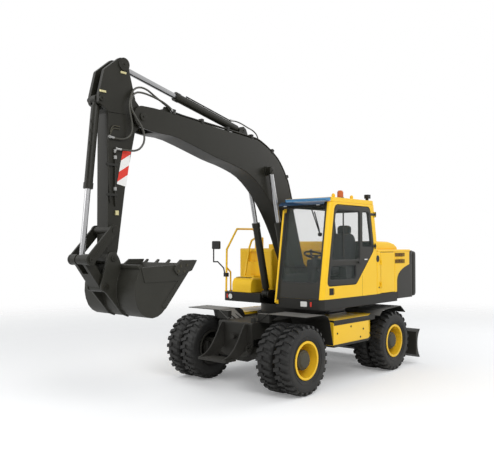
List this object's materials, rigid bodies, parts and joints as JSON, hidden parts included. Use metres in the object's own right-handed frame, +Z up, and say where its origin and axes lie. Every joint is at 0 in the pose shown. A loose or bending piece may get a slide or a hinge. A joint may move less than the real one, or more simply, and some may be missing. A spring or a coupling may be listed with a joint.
{
  "type": "wheeled excavator",
  "caption": "Wheeled excavator on twin tyres with slewing cab and house, one-piece boom, arm and toothed bucket on hydraulic cylinders, steered front axle and a rear dozer blade.",
  "frame": {"origin": "on the ground under the slew axis, half way between the axles", "axes": "+X forwards, the way the boom points; +Y to the left, the cab's side; +Z up"},
  "size_m": [6.6428, 2.6345, 4.5948],
  "materials": {
    "yellow_paint": "satin",
    "boom_paint": "satin",
    "chassis_paint": "satin",
    "tyre": "matt",
    "rod_chrome": "polished",
    "window": "clear",
    "black_plastic": "matt",
    "seat_fabric": "woven",
    "visor_tint": "tinted",
    "lamp_lens": "clear",
    "engine_iron": "cast"
  },
  "bodies": {
    "chassis": {"chassis_frame": "chassis_paint", "slew_ring": "chassis_paint", "front_axle": "chassis_paint", "rear_axle": "chassis_paint", "front_step": "chassis_paint", "fenders": "chassis_paint", "toolboxes": "yellow_paint"},
    "knuckle_left": {"knuckle_left": "chassis_paint"},
    "knuckle_right": {"knuckle_right": "chassis_paint"},
    "wheels_front_left": {"tyres_front_left": "tyre", "rims_front_left": "yellow_paint"},
    "wheels_front_right": {"tyres_front_right": "tyre", "rims_front_right": "yellow_paint"},
    "wheels_rear_left": {"tyres_rear_left": "tyre", "rims_rear_left": "yellow_paint"},
    "wheels_rear_right": {"tyres_rear_right": "tyre", "rims_rear_right": "yellow_paint"},
    "blade": {"blade": "chassis_paint"},
    "blade_barrels": {"blade_barrels": "chassis_paint"},
    "blade_rods": {"blade_rods": "rod_chrome"},
    "upper": {"swing_frame": "chassis_paint", "counterweight": "boom_paint", "engine": "engine_iron", "house_panels": "yellow_paint", "tank": "yellow_paint", "step_box": "yellow_paint", "handrails": "yellow_paint", "mirrors": "black_plastic", "cab_frame": "yellow_paint", "cab_roof": "yellow_paint", "cab_glass": "window", "seat": "seat_fabric", "controls": "black_plastic", "visor": "visor_tint", "lamps": "lamp_lens"},
    "hood": {"hood": "yellow_paint"},
    "side_door_left": {"side_door_left": "yellow_paint"},
    "side_door_right": {"side_door_right": "yellow_paint"},
    "cab_door": {"cab_door": "chassis_paint", "door_glass": "window"},
    "boom": {"boom": "boom_paint"},
    "boom_barrels": {"boom_barrels": "boom_paint"},
    "boom_rods": {"boom_rods": "rod_chrome"},
    "arm": {"arm": "boom_paint"},
    "arm_barrel": {"arm_barrel": "boom_paint"},
    "arm_rod": {"arm_rod": "rod_chrome"},
    "bucket": {"bucket": "boom_paint"},
    "rocker": {"rocker": "boom_paint"},
    "link": {"link": "boom_paint"},
    "bucket_barrel": {"bucket_barrel": "boom_paint"},
    "bucket_rod": {"bucket_rod": "rod_chrome"}
  },
  "joints": [
    {"name": "slew", "type": "hinge", "parent": "chassis", "child": "upper", "pos_m": [0, 0, 1.2], "axis": [0, 0, 1], "continuous": true},
    {"name": "steer_left", "type": "hinge", "parent": "chassis", "child": "knuckle_left", "pos_m": [1.3, 0.8, 0.515], "axis": [0, 0, 1], "range_deg": [-25, 25]},
    {"name": "steer_right", "type": "hinge", "parent": "chassis", "child": "knuckle_right", "pos_m": [1.3, -0.8, 0.515], "axis": [0, 0, 1], "range_deg": [-25, 25]},
    {"name": "wheel_front_left", "type": "hinge", "parent": "knuckle_left", "child": "wheels_front_left", "pos_m": [1.3, 0.957, 0.515], "axis": [0, 1, 0], "continuous": true},
    {"name": "wheel_front_right", "type": "hinge", "parent": "knuckle_right", "child": "wheels_front_right", "pos_m": [1.3, -0.957, 0.515], "axis": [0, 1, 0], "continuous": true},
    {"name": "wheel_rear_left", "type": "hinge", "parent": "chassis", "child": "wheels_rear_left", "pos_m": [-1.3, 0.957, 0.515], "axis": [0, 1, 0], "continuous": true},
    {"name": "wheel_rear_right", "type": "hinge", "parent": "chassis", "child": "wheels_rear_right", "pos_m": [-1.3, -0.957, 0.515], "axis": [0, 1, 0], "continuous": true},
    {"name": "blade_lift", "type": "hinge", "parent": "chassis", "child": "blade", "pos_m": [-1.64, 0, 0.6], "axis": [0, 1, 0], "range_deg": [-14, 14]},
    {"name": "blade_barrel_tilt", "type": "hinge", "parent": "chassis", "child": "blade_barrels", "pos_m": [-1.79, 0, 0.92], "axis": [0, 1, 0], "range_deg": [-15, 15]},
    {"name": "blade_rod_slide", "type": "slide", "parent": "blade_barrels", "child": "blade_rods", "axis": [-0.6273, 0, -0.7788], "range_m": [-0.1, 0.1]},
    {"name": "hood_lift", "type": "hinge", "parent": "upper", "child": "hood", "pos_m": [-1.925, 0, 2.11], "axis": [0, -1, 0], "range_deg": [0, 70]},
    {"name": "cab_door_swing", "type": "hinge", "parent": "upper", "child": "cab_door", "pos_m": [-0.648, 1.235, 2.1], "axis": [0, 0, 1], "range_deg": [0, 170]},
    {"name": "side_door_left_swing", "type": "hinge", "parent": "upper", "child": "side_door_left", "pos_m": [-0.848, 1.235, 1.7], "axis": [0, 0, 1], "range_deg": [-115, 0]},
    {"name": "side_door_right_swing", "type": "hinge", "parent": "upper", "child": "side_door_right", "pos_m": [-0.848, -1.235, 1.7], "axis": [0, 0, 1], "range_deg": [0, 115]},
    {"name": "boom_lift", "type": "hinge", "parent": "upper", "child": "boom", "pos_m": [0, 0, 1.75], "axis": [0, -1, 0], "range_deg": [-72, 28]},
    {"name": "boom_barrel_tilt", "type": "hinge", "parent": "upper", "child": "boom_barrels", "pos_m": [0.43, 0, 1.362], "axis": [0, -1, 0], "range_deg": [-72, 29]},
    {"name": "boom_rod_slide", "type": "slide", "parent": "boom_barrels", "child": "boom_rods", "axis": [0.236, 0, 0.9718], "range_m": [-0.68, 0.27]},
    {"name": "arm_swing", "type": "hinge", "parent": "boom", "child": "arm", "pos_m": [3.47, 0, 3.87], "axis": [0, 1, 0], "range_deg": [-75, 40]},
    {"name": "arm_barrel_tilt", "type": "hinge", "parent": "boom", "child": "arm_barrel", "pos_m": [1.39, 0, 3.98], "axis": [0, 1, 0], "range_deg": [-8, 5]},
    {"name": "arm_rod_slide", "type": "slide", "parent": "arm_barrel", "child": "arm_rod", "axis": [0.9757, 0, 0.2191], "range_m": [-0.81, 0.44]},
    {"name": "bucket_curl", "type": "hinge", "parent": "arm", "child": "bucket", "pos_m": [3.93, 0, 2.02], "axis": [0, 1, 0], "range_deg": [-130, 15]},
    {"name": "rocker_swing", "type": "hinge", "parent": "arm", "child": "rocker", "pos_m": [3.95, 0, 2.37], "axis": [0, 1, 0], "range_deg": [-95, 12]},
    {"name": "link_swing", "type": "hinge", "parent": "bucket", "child": "link", "pos_m": [4.04, 0, 1.67], "axis": [0, -1, 0], "range_deg": [-110, 14]},
    {"name": "bucket_barrel_tilt", "type": "hinge", "parent": "arm", "child": "bucket_barrel", "pos_m": [4.09, 0, 4.02], "axis": [0, 1, 0], "range_deg": [-7, 2]},
    {"name": "bucket_rod_slide", "type": "slide", "parent": "bucket_barrel", "child": "bucket_rod", "axis": [0.099, 0, -0.9951], "range_m": [-0.7, 0.09]}
  ],
  "couplings": [
    {"joint": "steer_right", "follows": "steer_left", "ratio": 1},
    {"joint": "blade_barrel_tilt", "follows": "blade_lift", "ratio": 0.67},
    {"joint": "blade_rod_slide", "follows": "blade_lift", "m_per_rad": -0.3165},
    {"joint": "boom_barrel_tilt", "follows": "boom_lift", "ratio": 0.9834},
    {"joint": "boom_rod_slide", "follows": "boom_lift", "m_per_rad": 0.5291},
    {"joint": "arm_barrel_tilt", "follows": "arm_swing", "ratio": 0.0933},
    {"joint": "arm_rod_slide", "follows": "arm_swing", "m_per_rad": 0.6097},
    {"joint": "rocker_swing", "follows": "bucket_curl", "ratio": 0.7137},
    {"joint": "link_swing", "follows": "bucket_curl", "ratio": 0.8324},
    {"joint": "bucket_barrel_tilt", "follows": "bucket_curl", "ratio": 0.0443},
    {"joint": "bucket_rod_slide", "follows": "bucket_curl", "m_per_rad": 0.3042}
  ]
}
